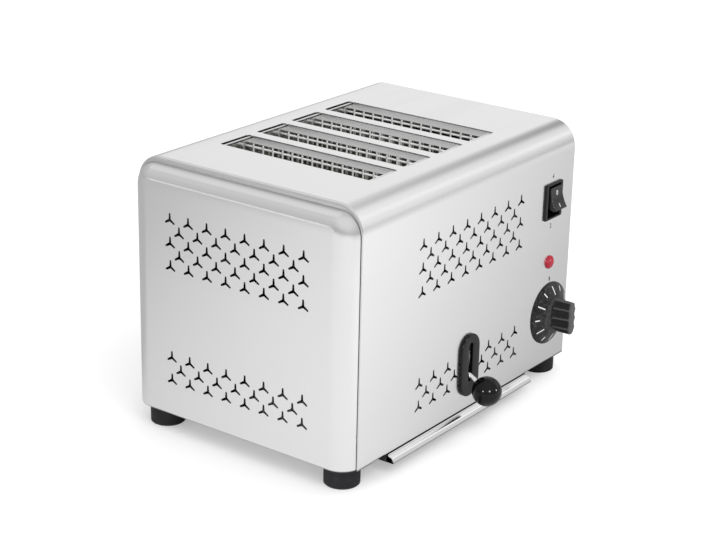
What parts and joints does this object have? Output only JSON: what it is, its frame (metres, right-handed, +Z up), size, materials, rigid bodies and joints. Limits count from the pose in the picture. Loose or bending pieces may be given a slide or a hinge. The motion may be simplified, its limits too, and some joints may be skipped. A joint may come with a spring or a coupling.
{
  "type": "commercial toaster",
  "caption": "Counter-top steel toaster with long bread slots on top, a lever with a ball, a rocker switch, a lamp, a timer knob, star-shaped vents and a crumb tray on black feet.",
  "frame": {"origin": "middle of the toaster's footprint, on the table that its feet rest on", "axes": "+X to the right of someone facing the controls, +Y away from them, +Z up"},
  "size_m": [0.32, 0.2556, 0.2225],
  "materials": {
    "satin_steel": "satin stainless sheet, very fine grain",
    "bright_steel": "bright rolled stainless sheet",
    "plated_sheet": "dull zinc-plated sheet",
    "foot_rubber": "matte black rubber",
    "screw_steel": "zinc-plated screws",
    "mica": "pale brown mica board",
    "ribbon_wire": "dark oxidised heating ribbon",
    "guard_wire": "bright welded wire",
    "drawn_steel": "drawn steel",
    "chrome": "polished chrome",
    "gloss_black": "glossy black plastic",
    "satin_black": "satin black plastic",
    "terminal_brass": "bare brass",
    "red_lens": "glossy red lens",
    "white_plastic": "off-white heat-proof plastic"
  },
  "bodies": {
    "housing": {"outer_wrap": "satin_steel", "left_side_cap": "satin_steel", "right_side_cap": "satin_steel", "base_plate": "plated_sheet", "foot_front_left": "foot_rubber", "foot_front_right": "foot_rubber", "foot_back_left": "foot_rubber", "foot_back_right": "foot_rubber", "foot_screws": "screw_steel", "foot_nuts": "screw_steel", "base_screws": "screw_steel", "tray_runner_left": "plated_sheet", "tray_runner_right": "plated_sheet", "inner_front_plate": "plated_sheet", "inner_back_plate": "plated_sheet", "heat_shield_left": "plated_sheet", "heat_shield_right": "plated_sheet", "heater_board_1": "mica", "heater_board_2": "mica", "heater_board_3": "mica", "heater_board_4": "mica", "heater_board_5": "mica", "heater_ribbon_1": "ribbon_wire", "heater_ribbon_2": "ribbon_wire", "heater_ribbon_3": "ribbon_wire", "heater_ribbon_4": "ribbon_wire", "heater_ribbon_5": "ribbon_wire", "bread_guard_1": "guard_wire", "bread_guard_2": "guard_wire", "bread_guard_3": "guard_wire", "bread_guard_4": "guard_wire", "guide_strips": "bright_steel", "guide_rod_front": "drawn_steel", "guide_rod_back": "drawn_steel", "rod_bracket_front": "plated_sheet", "rod_bracket_back": "plated_sheet", "return_spring_front": "drawn_steel", "return_spring_back": "drawn_steel", "carriage_stops": "plated_sheet", "lever_plate": "gloss_black", "switch_housing": "gloss_black", "switch_terminals": "terminal_brass", "lamp_lens": "red_lens", "lamp_body": "white_plastic", "timer_body": "plated_sheet", "cable_gland": "satin_black", "terminal_block": "white_plastic"},
    "carriage": {"carriage_bar_front": "plated_sheet", "carriage_bar_back": "plated_sheet", "bread_rack_1": "plated_sheet", "bread_rack_2": "plated_sheet", "bread_rack_3": "plated_sheet", "bread_rack_4": "plated_sheet", "lever_arm": "chrome", "ball_knob": "gloss_black"},
    "tray": {"crumb_tray": "bright_steel"},
    "rocker": {"switch_rocker": "gloss_black"},
    "timer_dial": {"timer_shaft": "drawn_steel", "timer_knob": "satin_black"}
  },
  "joints": [
    {"name": "carriage_slide", "type": "slide", "parent": "housing", "child": "carriage", "axis": [0, 0, 1], "range_m": [0, 0.023], "deforming": ["return_spring_front", "return_spring_back"]},
    {"name": "tray_slide", "type": "slide", "parent": "housing", "child": "tray", "axis": [0, -1, 0], "range_m": [0, 0.165]},
    {"name": "rocker_tilt", "type": "hinge", "parent": "housing", "child": "rocker", "pos_m": [0.1155, -0.0915, 0.1625], "axis": [1, 0, 0], "range_deg": [0, 32]},
    {"name": "timer_turn", "type": "hinge", "parent": "housing", "child": "timer_dial", "pos_m": [0.1155, -0.0972, 0.0638], "axis": [0, 1, 0], "range_deg": [0, 300]}
  ]
}
